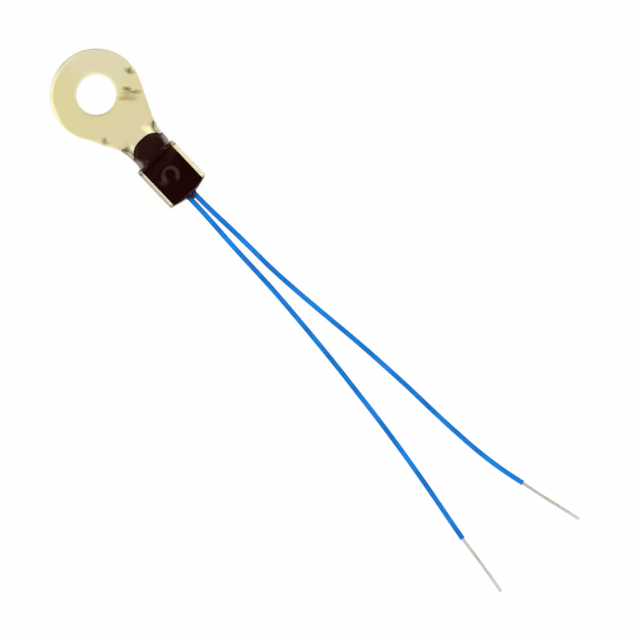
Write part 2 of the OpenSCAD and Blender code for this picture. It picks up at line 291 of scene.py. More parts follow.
# %% Whole blank with its thickness
weld_gap = 0.0001 * mm
bmesh.ops.mirror(blank, geom=blank.verts[:] + blank.edges[:] + blank.faces[:],
    matrix=Matrix.Identity(4), merge_dist=weld_gap, axis="Y")
bmesh.ops.recalc_face_normals(blank, faces=blank.faces[:])
lifted = bmesh.ops.extrude_face_region(blank, geom=blank.faces[:])
upper = [g for g in lifted["geom"] if isinstance(g, bmesh.types.BMVert)]
bmesh.ops.translate(blank, verts=upper, vec=(0, 0, sheet_t))
bmesh.ops.recalc_face_normals(blank, faces=blank.faces[:])
print("blank:", len(blank.faces), "faces")

# %% [markdown]
# The punch leaves the upper edge a little rounded. On this lug it also drew the far side of the ring down in
# a narrow sloping strip, which catches the light. The upper face is inset by the strip's width, all the way
# round, so that the strip has faces of its own. The edges between the upper face and its cut side are noted
# now, while both are still level and upright, because the last step rounds them.

# %% Border strip of the upper face
rim_w = 0.32 * mm
facing = 0.9


def outline_of(bm, up):
    """Edges between the sheet's upper or lower face and its cut side."""
    return [e for e in bm.edges if sum(f.normal.z * up > facing for f in e.link_faces) == 1
        and all((v.co.z - sheet_t / 4) * up > 0 for v in e.verts)]


top_faces = [f for f in blank.faces if f.normal.z > facing]
bmesh.ops.inset_region(blank, faces=top_faces, thickness=rim_w, depth=0, use_even_offset=True,
    use_boundary=True)
upper_outline = outline_of(blank, 1)
print("outline edges above:", len(upper_outline))

# %% [markdown]
# The strip could be a bevel, but its drop and its width change round the ring. So its points are moved: the
# outer ones down, the inner ones in or out. The strip's inner border runs in short straight lines on the real
# ring, and it does here too. Where nothing is drawn down, the strip narrows to an even margin.

# %% Drawn-down rim
rim_edge = 0.1 * mm
rim_drop = 0.07 * mm
rim_toward = Vector((-0.80, -0.60, 0))
rim_from = 0.5
rim_fade = 0.35
rim_facets = 15
on_circle = 0.02 * mm


def rim_share(place):
    """How much the punch drew the rim down here: most at the far side of the ring, none at the tongue."""
    toward_rim = Vector((place.x, place.y, 0)).normalized().dot(rim_toward)
    return eased((toward_rim - rim_from) / rim_fade)


def facet_dip(place):
    """How far a straight line between two corners of the strip's inner border lies inside its circle."""
    step = 2 * math.pi / rim_facets
    turned = math.atan2(place.y, place.x) % step - step / 2
    return ring_r * (1 - math.cos(step / 2) / math.cos(turned))


for v in blank.verts:
    if v.co.x > tangent.x or v.co.z < sheet_t / 2:
        continue
    from_hole = math.hypot(v.co.x, v.co.y)
    share = rim_share(v.co)
    if abs(from_hole - ring_r) < on_circle:
        v.co.z -= rim_drop * share
    elif abs(from_hole - (ring_r - rim_w)) < on_circle:
        kept = ring_r - rim_edge - (rim_w - rim_edge + facet_dip(v.co)) * share
        v.co.x *= kept / from_hole
        v.co.y *= kept / from_hole
lowest_rim = min(v.co.z for v in blank.verts if v.co.z > sheet_t / 2)
print("rim drawn down by, mm:", round((sheet_t - lowest_rim) / mm, 3))

# %% [markdown]
# A punched edge is rounded where the punch came down and crisp below. A Bevel modifier would treat both
# alike, so two bevels are made on the blank, with more segments on the edge that shows.

# %% Rounded upper edge and crisp lower edge
upper_edge_r = 0.035 * mm
lower_edge_r = 0.03 * mm
lower_outline = outline_of(blank, -1)
bmesh.ops.bevel(blank, geom=upper_outline, offset=upper_edge_r,
    offset_type="OFFSET", segments=4, profile=0.5, affect="EDGES", material=-1)
bmesh.ops.bevel(blank, geom=[e for e in lower_outline if e.is_valid], offset=lower_edge_r,
    offset_type="OFFSET", segments=2, profile=0.5, affect="EDGES", material=-1)
print("blank with rounded edges:", len(blank.faces), "faces")

# %% [markdown]
# A sheet only bends where its mesh has edges, so the blank is cut across the neck and along both bends
# before it is folded. The cuts stand close together, which keeps the bends smooth. The ring and the strip
# along the axis stay flat, and need no cuts.

# %% Cuts for the bends
cut_step = 0.1 * mm
uncut_half = 0.5 * mm
bend_end = flat_half + mid_r * math.pi / 2


def cut_across(bm, along, start, end, keep_from=None):
    """Cuts the sheet by parallel planes from start to end along an axis, behind keep_from if it is given."""
    normal = Vector((1, 0, 0)) if along == 0 else Vector((0, 1, 0))
    count = math.ceil((end - start) / cut_step)
    for i in range(count + 1):
        faces = [f for f in bm.faces if keep_from is None or f.calc_center_median().x > keep_from]
        edges = {e for f in faces for e in f.edges}
        points = {v for f in faces for v in f.verts}
        bmesh.ops.bisect_plane(bm, geom=[*points, *edges, *faces], dist=tiny,
            plane_co=normal * (start + (end - start) * i / count), plane_no=normal)


cut_across(blank, 0, tongue_end, barrel_front + wing_lean + wing_corner)
cut_across(blank, 1, uncut_half, bend_end, keep_from=tongue_end)
cut_across(blank, 1, -bend_end, -uncut_half, keep_from=tongue_end)
print("cut blank:", len(blank.faces), "faces")

# %% [markdown]
# The folding tool curled the neck's sides up and stood the wings upright, and the floor beside the neck's
# axis rose a little before the bend. A bend modifier knows only one angle, and here the bend grows along the
# neck. So a function says where each point of the flat sheet goes. The resin uses the same function later,
# which is why the two fit.

# %% How the sheet folds
curl_from = 5.25 * mm
curl_run = 0.7 * mm
swell = 0.06 * mm
swell_from = 0.6 * mm
swell_run = 0.75 * mm
swell_start = 3.9 * mm
swell_length = 1.8 * mm
swell_end_run = 1.2 * mm


def curvature(x):
    """Curvature of the sheet beside its flat floor: none on the tongue, full in the barrel."""
    return eased((x - curl_from) / curl_run) / mid_r


def lifted_floor(place):
    """How far the sheet already rises beside the axis of the neck, before the bend itself starts."""
    along = eased((place.x - swell_start) / swell_length) * eased((barrel_front - place.x) / swell_end_run)
    return swell * along * eased((abs(place.y) - swell_from) / swell_run)


def folded(place):
    """Where a point of the flat blank lies once the neck is curled and the wings stand."""
    bend = abs(place.y) - flat_half
    curl = curvature(place.x)
    rise = lifted_floor(place)
    if bend <= 0 or curl == 0:
        return place + Vector((0, 0, rise))
    level = place.z - sheet_t / 2
    turned = min(math.pi / 2, bend * curl)
    wall = max(0, bend - math.pi / 2 / curl)
    across = flat_half + math.sin(turned) / curl - level * math.sin(turned)
    up = sheet_t / 2 + (1 - math.cos(turned)) / curl + wall + level * math.cos(turned) + rise
    return Vector((place.x, math.copysign(across, place.y), up))


print("a folded wing's outer face, mm:", round(folded(Vector((barrel_rear, wing_half, 0))).y / mm, 3))

# %% [markdown]
# The neck was also pressed a little to one side. Before a point moves, two things are stored on it: the place
# that it had on the flat blank, and how much it belongs to the cut edge. The finish uses both later, because
# the edge, the smudges, the painted dark reflections and the grain belong to the flat sheet and not to the
# folded shape.

# %% Fold the blank
neck_aside = 0.15 * mm
aside_from = 3.7 * mm
aside_to = 8.0 * mm
aside_start_run = 1.4 * mm
aside_end_run = 0.8 * mm


def aside(x):
    """How far the neck was pressed to one side."""
    return neck_aside * eased((x - aside_from) / aside_start_run) * eased((aside_to - x) / aside_end_run)


flat_place = blank.verts.layers.float_vector.new("blank_place")
cut_share = blank.verts.layers.float.new("cut_edge")
blank.normal_update()
for v in blank.verts:
    v[flat_place] = v.co / mm
    v[cut_share] = 1 - abs(v.normal.z)
    v.co = folded(v.co)
    v.co.y += aside(v.co.x)
print("folded height, mm:", round(max(v.co.z for v in blank.verts) / mm, 3))

# %% [markdown]
# The finished bmesh becomes an object, which stands for the frame's lug. It is shaded smooth, and a Weighted
# Normal modifier keeps the large level faces looking level beside the small faces of the rounded edges.

# %% The lug
double_gap = 0.0005 * mm


def finished_mesh(name, bm):
    """Turns a bmesh into a smooth-shaded object in the scene."""
    bmesh.ops.remove_doubles(bm, verts=bm.verts[:], dist=double_gap)
    bmesh.ops.recalc_face_normals(bm, faces=bm.faces[:])
    for face in bm.faces:
        face.smooth = True
    mesh = bpy.data.meshes.new(name)
    bm.to_mesh(mesh)
    bm.free()
    piece = bpy.data.objects.new(name, mesh)
    bpy.context.collection.objects.link(piece)
    return piece


lug = finished_mesh("ring_lug_sheet", blank)
even = lug.modifiers.new("even shading", "WEIGHTED_NORMAL")
even.weight = 60
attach(lug, "root")
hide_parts("ring_lug")
print("lug:", len(lug.data.polygons), "faces")

# %% [markdown]
# The resin was poured into the barrel from above. It ran out over the neck in a rounded nose, laps over the
# neck's edges, lies nearly level between the wings, and bulges a little out of the rear round the leads. Seen
# from the side its top is a straight ramp up the nose that levels out between the wings.

# %% Side view of the resin
crown_z = 2.6 * mm
nose_x = barrel_front - 2 * mm
ramp_rise = 0.84
ramp_soft = 0.4 * mm
sunk = 0.05 * mm
inner_level = sheet_t - sunk


def ridge(x):
    """Height of the resin above the axis: a straight ramp up the nose that levels out between the wings."""
    below = crown_z - inner_level - (x - nose_x) * ramp_rise
    return crown_z - (below + math.sqrt(below ** 2 + ramp_soft ** 2)) / 2


print("resin height, mm: nose", round(ridge(nose_x) / mm, 2), "barrel", round(ridge(barrel_rear) / mm, 2))

# %% [markdown]
# Seen from above the nose is round, then the resin follows the neck's edge just outside it, and behind the
# barrel's front it fills the whole inside. Widths are measured along the flat blank, so that the folding
# function can seat the resin on the sheet. The skin starts a little under the sheet's face, or low on its cut
# edge where it laps over, so that no gap shows.

# %% Plan of the resin
nose_r = 2.3 * mm
nose_tip_half = 0.02 * mm
lap = 0.07 * mm
edge_level = 0.08 * mm
crown = 0.05 * mm
wall_end_x = barrel_front + wing_lean + 0.06 * mm
fill_bend = mid_r * math.pi / 2 + crown_z - crown - sheet_t / 2 - mid_r


def wetted(x):
    """Half-width of the resin, measured along the flat blank."""
    depth = max(0, nose_x + nose_r - x)
    arc = math.sqrt(max(nose_tip_half ** 2, nose_r ** 2 - depth ** 2))
    rim = neck_width(x) + lap
    if x <= barrel_front:
        return min(arc, rim)
    u = min(1, (x - barrel_front) / (wall_end_x - barrel_front))
    return rim + (flat_half + fill_bend - rim) * u


def seat_level(x):
    """Level in the sheet where the resin's skin starts: under the inner face, or low on the cut edge."""
    past_edge = eased((wetted(x) - neck_width(x) + lap) / (2 * lap)) if x < wall_end_x else 1
    back = eased((x - barrel_front) / (wall_end_x - barrel_front))
    low = edge_level + (sheet_t / 2 - edge_level) * back
    return inner_level + (low - inner_level) * past_edge


print("half of the resin along the blank, mm: neck", round(wetted(barrel_front) / mm, 2),
    "barrel", round(wetted(barrel_rear) / mm, 2))

# %% [markdown]
# Every cross section has the same run: out along the sheet, then back over the top. The top is a rounded
# arch over the nose and grows squarer towards the wings.

# %% A section of the resin
arch_power = 2
squarer = 0.8


def resin_section(x, w):
    """Half of a section: w runs from the bottom centre at 0 over the rim at 0.5 to the top at 1."""
    reach = wetted(x)
    level = seat_level(x)
    if w <= 0.5:
        return folded(Vector((x, reach * w * 2, level)))
    rim = folded(Vector((x, reach, level)))
    power = 2 / (arch_power + squarer * eased((x - nose_x) / (barrel_front - nose_x)))
    a = math.pi / 2 * (2 - 2 * w)
    across = rim.y * math.sin(a) ** power
    return Vector((x, across, rim.z + (ridge(x) - rim.z) * math.cos(a) ** power))


print("top of the section at the barrel's front, mm:", round(resin_section(barrel_front, 1).z / mm, 2))

# %% [markdown]
# Behind the barrel the resin swells out and then closes round the two leads. The last section is shrunk
# step by step for that: out with the bulge, down its nearly upright face, and along the web that crept
# between the leads.

# %% Bulge and web at the rear
inner_half = barrel_half - sheet_t
lead_half = lead_y * mm + jacket_r
half_h = axis_z * mm - sheet_t
bulge = 0.37 * mm
bulge_turn = math.radians(72)
bulge_square = 10
bulge_corner = 0.25
bulge_share = 0.5
face_share = 0.7
face_swell = 0.03 * mm
web_x = 13.1 * mm
web_high = jacket_r * 1.1
web_half = lead_half * 0.4
web_thinning = 0.7


def shrunk(place, share):
    """Moves a point of the rear section out with the bulge, down its face, then along the web."""
    a = min(1, share / bulge_share) * bulge_turn
    x = barrel_rear + bulge * math.sin(a) ** 2
    wide = inner_half * math.cos(a)
    high = half_h * (1 - math.sin(a) ** bulge_square) ** bulge_corner
    down = min(1, max(0, (share - bulge_share) / (face_share - bulge_share)))
    x += face_swell * math.sin(down * math.pi / 2)
    high += (web_high - high) * down
    along = max(0, (share - face_share) / (1 - face_share))
    x += (web_x - x) * along
    wide += (web_half - wide) * along
    high *= 1 - web_thinning * along ** 0.5
    y = place.y / inner_half * wide
    z = axis_z * mm + (place.z - axis_z * mm) / half_h * high
    return Vector((x, y, z))


print("bulge reaches, mm:", round(shrunk(Vector((barrel_rear, 0, crown_z)), bulge_share).x / mm, 2))

# %% [markdown]
# The resin could be built from lofted rings and patches. As all sections have the same run, one flat grid is
# laid round it instead: one side of the grid is the way along the probe, the other the way round the section.
# The rows stand closer together at the tip of the nose, where the shape turns fastest.

# %% Resin skin
nose_rows = 56
nose_crowding = 1.6
body_rows = 60
rear_rows = 30
round_points = 160
rows = nose_rows + body_rows + rear_rows


def resin_row(row):
    """Place along the probe for one row of the grid, and how far the section has shrunk towards the leads."""
    if row <= nose_rows:
        return nose_x + (barrel_front - nose_x) * (row / nose_rows) ** nose_crowding, 0
    if row <= nose_rows + body_rows:
        return barrel_front + (barrel_rear - barrel_front) * (row - nose_rows) / body_rows, 0
    return barrel_rear, (row - nose_rows - body_rows) / rear_rows


resin = bmesh.new()
bmesh.ops.create_grid(resin, x_segments=rows, y_segments=round_points, size=0.5)
for v in resin.verts:
    row = round((v.co.x + 0.5) * rows)
    v_round = v.co.y + 0.5
    x, share = resin_row(row)
    side = 1 if v_round <= 0.5 else -1
    w = 2 * v_round if side > 0 else 2 - 2 * v_round
    place = resin_section(x, w)
    place.y = place.y * side + aside(x)
    v.co = shrunk(place, share) if share > 0 else place
bmesh.ops.remove_doubles(resin, verts=resin.verts[:], dist=double_gap)
open_ends = [e for e in resin.edges if e.is_boundary]
bmesh.ops.holes_fill(resin, edges=open_ends, sides=0)
print("resin skin:", len(resin.verts), "points,", len(open_ends), "edges at its ends")

# %% [markdown]
# As it set, the resin sank into a shallow dimple, and its top stayed a little wavy. The dimple mirrors the
# lamp, so its slope is a real one and not bump. Its floor and its brim are two circles that aren't
# concentric, which makes one side steeper than the other, and the mark in it uneven.

# %% Dimple and ripples in the resin
dimple_floor_at = Vector((10.11 * mm, -0.01 * mm, 0))
dimple_floor_r = 0.42 * mm
dimple_at = Vector((10.08 * mm, -0.2 * mm, 0))
dimple_r = 0.92 * mm
dimple_depth = 0.075 * mm
ripple = 0.01 * mm
ripple_size = 1.6 * mm
top_from = 1.9 * mm
for v in resin.verts:
    if v.co.z < top_from or v.co.x > barrel_rear:
        continue
    beyond_floor = max(0, math.dist(v.co.xy, dimple_floor_at.xy) - dimple_floor_r)
    to_brim = max(0, dimple_r - math.dist(v.co.xy, dimple_at.xy))
    v.co.z -= dimple_depth * eased(to_brim / (to_brim + beyond_floor + tiny))
    v.co.z -= ripple * (0.5 + 0.5 * noise.noise(v.co / ripple_size))

potting = finished_mesh("potting_fill", resin)
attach(potting, "root")
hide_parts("potting")
print("potting:", len(potting.data.polygons), "faces")

# %% [markdown]
# A finish is a small tree of nodes, which could be wired by hand in the editor. Written as Python sums it
# stays readable: a wire stands for a socket, and adding or multiplying wires adds the Math nodes.


# %% A wire that can be used in sums
class Wire:
    """A socket of a finish that can be used in a sum."""

    def __init__(self, finish, socket):
        self.finish = finish
        self.socket = socket

    def math(self, operation, first, second):
        return self.finish.node("ShaderNodeMath", {"operation": operation}, {0: first, 1: second})

    def __add__(self, other):
        return self.math("ADD", self, other)

    def __radd__(self, other):
        return self.math("ADD", other, self)

    def __sub__(self, other):
        return self.math("SUBTRACT", self, other)

    def __rsub__(self, other):
        return self.math("SUBTRACT", other, self)

    def __mul__(self, other):
        return self.math("MULTIPLY", self, other)

    def __rmul__(self, other):
        return self.math("MULTIPLY", other, self)

    def __truediv__(self, other):
        return self.math("DIVIDE", self, other)


# %% [markdown]
# Every other node comes from one method, which takes the node's type, its settings and the values or wires of
# its sockets. The short methods under it ask what a point of the piece knows: its place, what the mesh keeps
# on it, and one coordinate of either.


# %% A tree of nodes
class Nodes:
    """A tree of nodes, of a material or of the world."""

    def __init__(self, tree):
        self.tree = tree

    def set(self, socket, value):
        """Links a wire to a socket, or writes a plain value on it."""
        if isinstance(value, Wire):
            self.tree.links.new(value.socket, socket)
        else:
            socket.default_value = value

    def node(self, kind, settings, values, out=0):
        """Adds any node: first its settings, then the values or wires of its sockets."""
        made = self.tree.nodes.new(kind)
        for key, value in settings.items():
            setattr(made, key, value)
        for key, value in values.items():
            self.set(made.inputs[key], value)
        return Wire(self, made.outputs[out])

    def place(self):
        """Where a point is on the object, in metres."""
        return self.node("ShaderNodeTexCoord", {}, {}, "Object")

    def stored(self, name, out):
        """What the mesh keeps on its points under a name."""
        return self.node("ShaderNodeAttribute", {"attribute_name": name}, {}, out)

    def axis(self, vector, name):
        """One coordinate of a vector."""
        return self.node("ShaderNodeSeparateXYZ", {}, {"Vector": vector}, name)

    def size(self, value):
        """The value without its sign."""
        return self.node("ShaderNodeMath", {"operation": "ABSOLUTE"}, {0: value})


# %% [markdown]
# The finishes are written in a few more words: stretched and turned places, noise, a soft step, a mix of two
# colours, and an oval with torn edges, which paints real stains as well as painted highlights and shade. They
# could stand in the class above. A second class that builds on it keeps both short.


# %% Patterns for the finishes
class Patterns(Nodes):
    """A tree of nodes that also makes the patterns of the finishes and of the light."""

    def stretched(self, vector, scale):
        """The vector multiplied along each axis."""
        return self.node("ShaderNodeMapping", {}, {"Vector": vector, "Scale": scale})

    def turned(self, vector, centre, turn):
        """The vector seen from a centre, with axes turned in the plane."""
        return self.node("ShaderNodeMapping", {"vector_type": "TEXTURE"}, {"Vector": vector,
            "Location": centre, "Rotation": (0, 0, turn)})

    def grain(self, vector, scale, detail=2.0):
        """Noise from 0 to 1 with about scale grains to a unit of the vector."""
        return self.node("ShaderNodeTexNoise", {}, {"Vector": vector, "Scale": scale, "Detail": detail})

    def frayed(self, vector, scale, reach):
        """The vector pushed about by noise, up to half of reach each way, so that shapes get torn edges."""
        noisy = {"Vector": vector, "Scale": scale, "Detail": 4.0}
        push = self.node("ShaderNodeTexNoise", {}, noisy, "Color")
        centred = self.node("ShaderNodeVectorMath", {"operation": "SUBTRACT"}, {0: push, 1: (0.5, 0.5, 0.5)})
        return self.node("ShaderNodeVectorMath", {"operation": "MULTIPLY_ADD"}, {0: centred,
            1: (reach, reach, reach), 2: vector})

    def between(self, value, low, high, start=0.0, end=1.0):
        """Turns low..high of a value smoothly into start..end."""
        return self.node("ShaderNodeMapRange", {"interpolation_type": "SMOOTHSTEP"},
            {"Value": value, "From Min": low, "From Max": high, "To Min": start, "To Max": end})

    def blend(self, share, first, second):
        """Mixes two colours."""
        return self.node("ShaderNodeMix", {"data_type": "RGBA"}, {0: share, 6: first, 7: second}, 2)

    def spot(self, vector, centre, half_size, turn=0.0):
        """Distance from an oval's centre: 1 on its outline. The oval's first axis is turned in the plane."""
        own = self.node("ShaderNodeMapping", {"vector_type": "TEXTURE"}, {"Vector": vector,
            "Location": centre, "Rotation": (0, 0, turn), "Scale": half_size})
        return self.node("ShaderNodeVectorMath", {"operation": "LENGTH"}, {0: own}, "Value")

    def stain_and_painted_light(self, vector, centre, half_size, turn, solid, gone, strength):
        """A share for blending: strength inside an oval, fading between two shares of the oval's size."""
        return self.between(self.spot(vector, centre, half_size, turn), solid, gone, strength, 0.0)


# %% [markdown]
# A finish is a material whose nodes end in Blender's Principled shader. What is the same all over is written
# on the shader's own sockets, and what changes over the surface is wired to them.


# %% A finish for a piece
class Finish(Patterns):
    """A material whose nodes end in one Principled shader. Plain values are set on that shader's sockets."""

    def __init__(self, name, **plain):
        self.material = bpy.data.materials.new(name)
        self.material.use_nodes = True
        super().__init__(self.material.node_tree)
        self.shader = self.tree.nodes["Principled BSDF"]
        self.feed(**plain)

    def feed(self, **values):
        """Sends wires or plain values to the shader's sockets."""
        for key, value in values.items():
            self.set(self.shader.inputs[key.replace("_", " ")], value)

    def relief(self, height, depth):
        """Bump of that depth in metres on the shader's normal."""
        bump = self.node("ShaderNodeBump", {}, {"Height": height, "Distance": depth, "Strength": 1.0})
        self.feed(Normal=bump)

    def coat(self, *pieces):
        """Gives this finish to pieces."""
        for piece in pieces:
            piece.data.materials.clear()
            piece.data.materials.append(self.material)
        print(self.material.name, "on", len(pieces), "pieces, nodes:", len(self.tree.nodes))


# %% [markdown]
# The lug is plated and passivated: a pale metal with a warm cast that drifts from grey to yellow. The drift
# could be one gradient. On the real sheet it wanders, so its border is pushed about by a soft noise. All of
# the sheet's places below are in millimetres on the flat blank.

# %% Plated sheet
yellow_plate = (0.87, 0.79, 0.43, 1)
grey_plate = (0.90, 0.83, 0.55, 1)
beige_plate = (0.86, 0.77, 0.47, 1)
clouds_per_mm = 0.45
grey_between = (0.0, 3.4)
grey_drift = 5.0
beige_between = (2.0, 4.5)
beige_drift = 3.0

plate = Finish("plated sheet", Metallic=1.0)
sheet_place = plate.stored("blank_place", "Vector")
drift = plate.grain(sheet_place, clouds_per_mm, detail=3.0) - 0.5
upward = plate.axis(plate.turned(sheet_place, (0, 0, 0), picture_turn), "Y")
tone = plate.blend(plate.between(upward + drift * grey_drift, *grey_between), yellow_plate, grey_plate)
rearward = plate.axis(sheet_place, "X")
tone = plate.blend(plate.between(rearward + drift * beige_drift, *beige_between), tone, beige_plate)
print("plated sheet, nodes so far:", len(plate.tree.nodes))

# %% [markdown]
# The drawn-down strip of the ring catches the light, and that highlight is painted in as a brighter colour.
# The strip could have a material of its own, but its border is soft, so the painted highlight is blended in
# where the strip is: past a distance from the hole's axis, and on the ring's far side.

# %% Painted highlight on the rim
painted_rim_highlight = (1.0, 0.95, 0.62, 1)
rim_highlight_past = (3.82, 3.9)
rim_highlight_side = (3.3, 3.85)
rim_highlight_toward = math.radians(192)
face_z = sheet_t / mm

rim_far = plate.spot(sheet_place, (0, 0, face_z), (1, 1, 100))
rim_side = plate.axis(plate.turned(sheet_place, (0, 0, 0), rim_highlight_toward), "X")
# painted highlight along the drawn-down strip of the ring
rim_highlight_share = plate.between(rim_far, *rim_highlight_past) * plate.between(rim_side, *rim_highlight_side)
tone = plate.blend(rim_highlight_share, tone, painted_rim_highlight)
print("burnished strip from", rim_highlight_past[0], "mm off the hole's axis")

# %% [markdown]
# Flux left one brownish patch beside the hole, with a sharp lower border and a faint olive haze above it. A
# painted image would do it, but noise does too: it pushes the coordinates about, which tears the outlines of
# plain ovals.

# %% Brown patch
haze_colour = (0.56, 0.50, 0.22, 1)
patch_colour = (0.61, 0.47, 0.21, 1)
haze_at = (2.3, 2.1, face_z)
haze_half = (0.95, 0.6, 1)
patch_at = (2.28, 1.6, face_z)
patch_half = (1.0, 0.65, 1)
patch_foot = (2.24, 1.55, 0)
foot_between = (-0.05, 0.06)

ragged = (plate.grain(sheet_place, 3.2, detail=4.0) - 0.5) * 0.12
frayed = plate.frayed(sheet_place, 2.6, 0.55)
haze = plate.stain_and_painted_light(frayed, haze_at, haze_half, picture_turn, 0.3, 1.2, 0.4)
tone = plate.blend(haze, tone, haze_colour)
above_foot = plate.axis(plate.turned(sheet_place, patch_foot, picture_turn), "Y")
patch = plate.stain_and_painted_light(frayed, patch_at, patch_half, picture_turn, 0.3, 1.1, 0.9)
patch = plate.between(above_foot + ragged, *foot_between) * patch
tone = plate.blend(patch, tone, patch_colour)
print("brown patch, mm from the hole's axis:", round(Vector(patch_at[:2]).length, 2))

# %% [markdown]
# The cut edges show the metal of the core. Towards one side of the lug they are bright. Towards the other
# they are dull, with a dark line low in the sheet, where the metal broke off instead of being cut. They could
# be faces with a second material. The share of the edge that is stored on the mesh fades more softly into
# the rounded edge, and the level in the sheet says how high on the edge a point is.

# %% Cut edges
edge_between = (0.06, 0.3)
side_between = (-2.0, 2.0)
side_drift = 4.0
bright_foot = (0.92, 0.87, 0.74, 1)
bright_top = (0.86, 0.79, 0.48, 1)
dull_foot = (0.62, 0.60, 0.50, 1)
dull_top = (0.82, 0.75, 0.56, 1)
broken_off = (0.36, 0.32, 0.18, 1)
break_level = 0.14

cut = plate.between(plate.stored("cut_edge", "Fac"), *edge_between)
cut_side = plate.between(plate.axis(sheet_place, "Y") + drift * side_drift, *side_between)
cut_level = plate.axis(sheet_place, "Z")
bright_cut = plate.blend(plate.between(cut_level, 0.05, 0.3), bright_foot, bright_top)
dull_cut = plate.blend(plate.between(cut_level, 0.12, 0.3), dull_foot, dull_top)
cut_colour = plate.blend(cut_side, dull_cut, bright_cut)
break_line = plate.between(plate.size(cut_level - break_level), 0.02, 0.07, 0.8, 0.0)
cut_colour = plate.blend(break_line * (1 - cut_side), cut_colour, broken_off)
tone = plate.blend(cut, tone, cut_colour)
print("cut edges, nodes so far:", len(plate.tree.nodes))

# %% [markdown]
# Fingers and flux left olive smudges, each a small oval with a ragged outline. The last two ovals, where the
# neck's sides start to curl up, are painted dark reflection of the fold and not smudges. A list holds their
# places, half sizes and strengths, and a loop blends them in one after the other.

# %% Smudges and painted dark reflections
smudge_and_reflection_colour = (0.25, 0.22, 0.05, 1)
smudges_and_dark_reflections = [((0.45, 3.67), (0.3, 0.32), 0.9), ((0.75, 3.75), (0.34, 0.15), 0.5),
    ((0.2, 3.4), (0.2, 0.2), 0.3), ((1.52, 2.32), (0.36, 0.2), 0.95),
    ((1.88, 2.36), (0.3, 0.14), 0.5), ((2.2, 2.54), (0.28, 0.17), 0.85),
    ((2.42, 2.9), (0.36, 0.18), 0.5), ((1.75, 2.05), (0.42, 0.16), 0.35),
    ((3.55, -2.48), (0.24, 0.38), 0.7), ((3.95, -2.5), (0.26, 0.15), 0.5),
    # painted dark reflection where the neck's sides start to curl up
    ((5.62, 2.05), (0.26, 0.34), 0.5), ((5.68, -1.95), (0.26, 0.34), 0.5)]
for at, half_size, strength in smudges_and_dark_reflections:
    smudge_and_reflection = plate.stain_and_painted_light(frayed, (*at, face_z), (*half_size, 1), picture_turn, 0.2, 1.5, strength)
    tone = plate.blend(smudge_and_reflection, tone, smudge_and_reflection_colour)
print("smudges:", len(smudges_and_dark_reflections))

# %% [markdown]
# Rolled sheet has a fine grain along its length. A noise that is stretched along the sheet feeds the
# roughness, and, as a bump of three thousandths of a millimetre, the normal.

# %% Grain of the sheet
grain_depth = 0.003 * mm
fine = plate.grain(plate.stretched(sheet_place, (3.0, 14.0, 14.0)), 1.0, detail=5.0)
plate.feed(Base_Color=tone, Roughness=0.33 + fine * 0.12 + cut * 0.1)
plate.relief(fine, grain_depth)
plate.coat(lug)

# %% [markdown]
# The resin is a glossy, almost black red-brown, redder in the thin nose than in the deep barrel. It could be
# real tinted glass, but light hardly gets into it, so a dark plain body with gloss is enough. Its specular
# level is set low and tinted, because such resin shows hardly any sheen where it mirrors a dim part of the
# tent. From here on places are in metres on the piece.

# %% Dark resin
thin_resin = (0.0205, 0.0022, 0.0012, 1)
deep_resin = (0.0095, 0.0008, 0.0006, 1)
nose_edge_reflection = (0.007, 0.0045, 0.0004, 1)
nose_centre = (8.07 * mm, neck_aside, sheet_t)
nose_round = (2.32 * mm, 2.32 * mm, 100 * mm)
deepens_between = (7.2 * mm, 8.8 * mm)
nose_edge_between = (0.84, 0.95)
nose_edge_ends_between = (6.6 * mm, 7.4 * mm)

dark = Finish("dark potting resin", Roughness=0.17, Specular_IOR_Level=0.3)
dark.feed(Specular_Tint=(1, 0.52, 0.42, 1))
dark_place = dark.place()
dark_x = dark.axis(dark_place, "X")
uneven = (dark.grain(dark_place, 700.0, detail=3.0) - 0.5) * 2 * mm
body = dark.blend(dark.between(dark_x + uneven, *deepens_between), thin_resin, deep_resin)
# Painted reflection: an olive edge along the front of the nose, the tint of the metal beside it painted onto
# the resin.
nose_far = dark.spot(dark_place, nose_centre, nose_round)
nose_edge_share = dark.between(nose_far, *nose_edge_between) * dark.between(dark_x, *nose_edge_ends_between, 1.0, 0.0)
body = dark.blend(nose_edge_share, body, nose_edge_reflection)
print("dark resin, nodes so far:", len(dark.tree.nodes))

# %% [markdown]
# Where the resin creeps along the blue leads it takes a navy cast. Beside the dimple one pale spot with torn
# edges is a painted highlight, which carries the lamp's mark in the dimple further out.

# %% Navy web and painted highlight by the dimple
navy_resin = (0.0, 0.002, 0.03, 1)
dimple_highlight_colour = (0.042, 0.017, 0.011, 1)
dimple_highlight_at = (10.22 * mm, -1.0 * mm, crown_z)
dimple_highlight_half = (0.4 * mm, 0.44 * mm, 2 * mm)
navy_between = (12.5 * mm, 12.8 * mm)

frayed_place = dark.frayed(dark_place, 1800.0, 0.5 * mm)
body = dark.blend(dark.between(dark_x, *navy_between), body, navy_resin)
# painted highlight beside the dimple
dimple_highlight = dark.stain_and_painted_light(frayed_place, dimple_highlight_at, dimple_highlight_half, picture_turn, 0.2, 1.3, 0.85)
body = dark.blend(dimple_highlight, body, dimple_highlight_colour)
print("bloom on the resin, mm wide:", round(2 * dimple_highlight_half[0] / mm, 2))

# %% [markdown]
# Where the resin laps over the neck's edges, just in front of the wings, its steep flank mirrors the bright
# table in a pale pinkish grey. That highlight is painted on as a colour, and a weaker painted highlight runs
# forward along the very edge.

